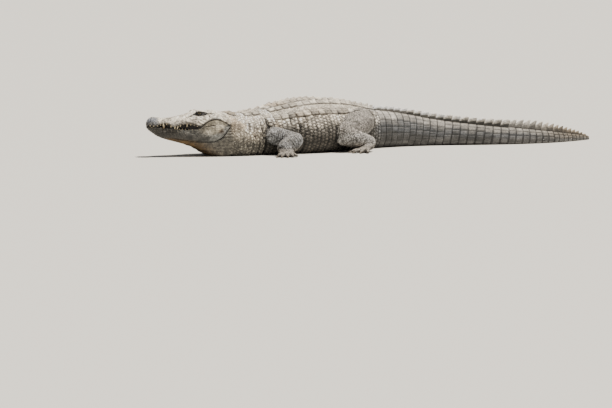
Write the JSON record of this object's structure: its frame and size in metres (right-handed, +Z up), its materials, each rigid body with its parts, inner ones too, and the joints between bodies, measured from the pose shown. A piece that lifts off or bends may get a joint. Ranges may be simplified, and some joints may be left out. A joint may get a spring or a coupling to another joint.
{
  "type": "crocodile",
  "caption": "Still life-size model of an adult mugger crocodile lying on its belly, jaws closed, tail swung in a long S.",
  "frame": {"origin": "on the floor, under the middle of the model's box", "axes": "+X along the trunk from head to tail, +Y to the animal's right, +Z up"},
  "size_m": [3.1686, 0.9262, 0.3384],
  "materials": {
    "skin": "rough, dusty, grey-olive and sand-coloured scales",
    "jaw_skin": "matt pale grey with a buff throat; ivory teeth",
    "eye": "wet gloss, dark olive-brown iris, slit pupil",
    "claw": "satin dark horn"
  },
  "bodies": {
    "root": {"head": "skin", "jaw": "jaw_skin", "eye_left": "eye", "eye_right": "eye", "neck": "skin", "chest": "skin", "belly": "skin", "pelvis": "skin", "tail_1": "skin", "tail_2": "skin", "tail_3": "skin", "tail_4": "skin", "tail_5": "skin", "tail_6": "skin", "upper_arm_left": "skin", "forearm_left": "skin", "hand_left": "skin", "hand_claw_1_left": "claw", "hand_claw_2_left": "claw", "hand_claw_3_left": "claw", "upper_arm_right": "skin", "forearm_right": "skin", "hand_right": "skin", "hand_claw_1_right": "claw", "hand_claw_2_right": "claw", "hand_claw_3_right": "claw", "thigh_left": "skin", "shank_left": "skin", "foot_left": "skin", "foot_claw_1_left": "claw", "foot_claw_2_left": "claw", "foot_claw_3_left": "claw", "thigh_right": "skin", "shank_right": "skin", "foot_right": "skin", "foot_claw_1_right": "claw", "foot_claw_2_right": "claw", "foot_claw_3_right": "claw"}
  },
  "joints": []
}
